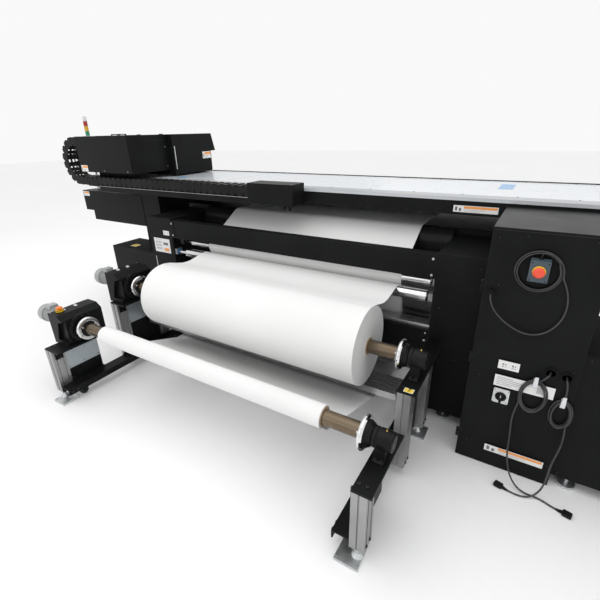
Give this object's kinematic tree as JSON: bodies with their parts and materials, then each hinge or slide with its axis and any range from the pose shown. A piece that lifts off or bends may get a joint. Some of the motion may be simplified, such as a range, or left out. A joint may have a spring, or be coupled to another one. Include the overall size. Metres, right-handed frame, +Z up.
{
  "type": "wide-format roll-to-roll printer",
  "caption": "Floor-standing wide-format printer with a travelling print carriage over a vacuum platen, roll stands with driven shafts, and an electrical cabinet.",
  "frame": {"origin": "middle of the machine's outer box at floor level", "axes": "+X along the machine towards the electrical cabinet, -Y towards the media rolls, +Z up"},
  "size_m": [5.1, 2.41, 1.78],
  "materials": {
    "black_powder": "satin powder coat",
    "deck_grey": "glossy pale enamel",
    "slotted_aluminium": "natural anodised, brushed",
    "galvanised_sheet": "galvanised",
    "zinc_steel": "zinc plated",
    "bronze_shaft": "bronze anodised",
    "roller_steel": "polished",
    "rail_steel": "ground",
    "table_black": "black anodised",
    "media_white": "matt",
    "chain_plastic": "moulded",
    "motor_grey": "painted casting",
    "bearing_black": "gloss black",
    "unit_grey": "moulded",
    "wheel_rubber": "matt",
    "tower_plastic": "clear and coloured lenses",
    "estop_slate": "moulded",
    "switch_plate": "moulded",
    "knob_black": "moulded",
    "button_red": "gloss",
    "button_orange": "gloss",
    "cord_black": "matt jacket",
    "plug_black": "moulded",
    "head_grey": "moulded"
  },
  "bodies": {
    "root": {"side_columns": "black_powder", "crossbars": "black_powder", "aluminium_beams": "slotted_aluminium", "levelling_feet": "zinc_steel", "platen": "table_black", "beam_girder": "black_powder", "beam_deck": "deck_grey", "front_fascia": "black_powder", "beam_legs": "black_powder", "linear_rails": "rail_steel", "chain_tray": "black_powder", "chain_anchor_box": "black_powder", "side_boxes": "black_powder", "cabinet_shell": "black_powder", "control_units": "unit_grey", "tower_light": "tower_plastic", "stand_posts": "slotted_aluminium", "stand_plates": "black_powder", "stand_rails": "black_powder", "stand_panels": "galvanised_sheet", "stand_feet": "zinc_steel", "stand_cross_beam": "slotted_aluminium", "motor_housings": "black_powder", "gear_motors": "motor_grey", "pillow_blocks": "bearing_black", "roller_brackets": "slotted_aluminium", "web_supply": "media_white", "web_printed": "media_white", "chain_lower": "chain_plastic"},
    "carriage": {"carriage_frame": "table_black", "bearing_blocks": "rail_steel", "carriage_cover": "black_powder", "carriage_hood": "black_powder", "print_heads": "head_grey", "chain_upper": "chain_plastic"},
    "lid": {"carriage_lid": "black_powder"},
    "chain": {"chain_loop": "chain_plastic"},
    "takeup": {"takeup_shaft": "bronze_shaft", "takeup_roll": "media_white"},
    "unwind": {"unwind_shaft": "bronze_shaft", "unwind_roll": "media_white"},
    "silver": {"silver_roller": "roller_steel"},
    "grey": {"grey_roller": "roller_steel"},
    "dancer": {"dancer_roller": "roller_steel"},
    "low": {"low_roller": "roller_steel"},
    "door": {"cabinet_door": "black_powder", "door_fittings": "switch_plate", "estop_box": "estop_slate", "estop_cord": "cord_black", "estop_coil": "cord_black", "data_cord_1": "cord_black", "data_coil_1": "cord_black", "data_cord_2": "cord_black", "data_coil_2": "cord_black", "cord_plugs_and_ties": "plug_black"},
    "estop": {"estop_button": "button_red"},
    "switch": {"switch_knob": "knob_black"},
    "stop": {"stop_button": "button_orange"},
    "wheel_left": {"left_wheel": "wheel_rubber"},
    "wheel_right": {"right_wheel": "wheel_rubber"}
  },
  "joints": [
    {"name": "carriage_travel", "type": "slide", "parent": "root", "child": "carriage", "axis": [1, 0, 0], "range_m": [0, 3.6]},
    {"name": "chain_roll", "type": "slide", "parent": "carriage", "child": "chain", "axis": [1, 0, 0], "range_m": [-1.8, 0], "deforming": ["chain_lower", "chain_upper"]},
    {"name": "lid_hinge", "type": "hinge", "parent": "carriage", "child": "lid", "pos_m": [-1.88, 0.41, 1.6], "axis": [-1, 0, 0], "range_deg": [0, 80]},
    {"name": "takeup_turn", "type": "hinge", "parent": "root", "child": "takeup", "pos_m": [0, -0.957, 0.47], "axis": [1, 0, 0], "continuous": true},
    {"name": "unwind_turn", "type": "hinge", "parent": "root", "child": "unwind", "pos_m": [0, -0.527, 0.609], "axis": [1, 0, 0], "continuous": true},
    {"name": "silver_turn", "type": "hinge", "parent": "root", "child": "silver", "pos_m": [0, -0.118, 0.76], "axis": [1, 0, 0], "continuous": true},
    {"name": "grey_turn", "type": "hinge", "parent": "root", "child": "grey", "pos_m": [0, -0.046, 0.824], "axis": [1, 0, 0], "continuous": true},
    {"name": "dancer_turn", "type": "hinge", "parent": "root", "child": "dancer", "pos_m": [0, 0.098, 0.25], "axis": [1, 0, 0], "continuous": true},
    {"name": "low_turn", "type": "hinge", "parent": "root", "child": "low", "pos_m": [0, 0.102, 0.082], "axis": [1, 0, 0], "continuous": true},
    {"name": "door_hinge", "type": "hinge", "parent": "root", "child": "door", "pos_m": [1.233, -0.37, 0.6], "axis": [0, 0, -1], "range_deg": [0, 90]},
    {"name": "estop_press", "type": "slide", "parent": "door", "child": "estop", "axis": [0, 1, 0], "range_m": [0, 0.006], "stiffness_N_per_m": 600},
    {"name": "main_switch_turn", "type": "hinge", "parent": "door", "child": "switch", "pos_m": [1.394, -0.367, 0.435], "axis": [0, 1, 0], "range_deg": [0, 90]},
    {"name": "stop_press", "type": "slide", "parent": "root", "child": "stop", "axis": [0, 0, -1], "range_m": [0, 0.005], "stiffness_N_per_m": 600},
    {"name": "wheel_left_turn", "type": "hinge", "parent": "root", "child": "wheel_left", "pos_m": [-1.02, -1.053, 0.033], "axis": [1, 0, 0], "continuous": true},
    {"name": "wheel_right_turn", "type": "hinge", "parent": "root", "child": "wheel_right", "pos_m": [0.947, -1.053, 0.033], "axis": [1, 0, 0], "continuous": true}
  ],
  "couplings": [
    {"joint": "chain_roll", "follows": "carriage_travel", "ratio": -0.5},
    {"joint": "silver_turn", "follows": "unwind_turn", "ratio": 6.0888},
    {"joint": "grey_turn", "follows": "unwind_turn", "ratio": 6.0888},
    {"joint": "dancer_turn", "follows": "unwind_turn", "ratio": -6.0888},
    {"joint": "low_turn", "follows": "takeup_turn", "ratio": 1.5621}
  ]
}
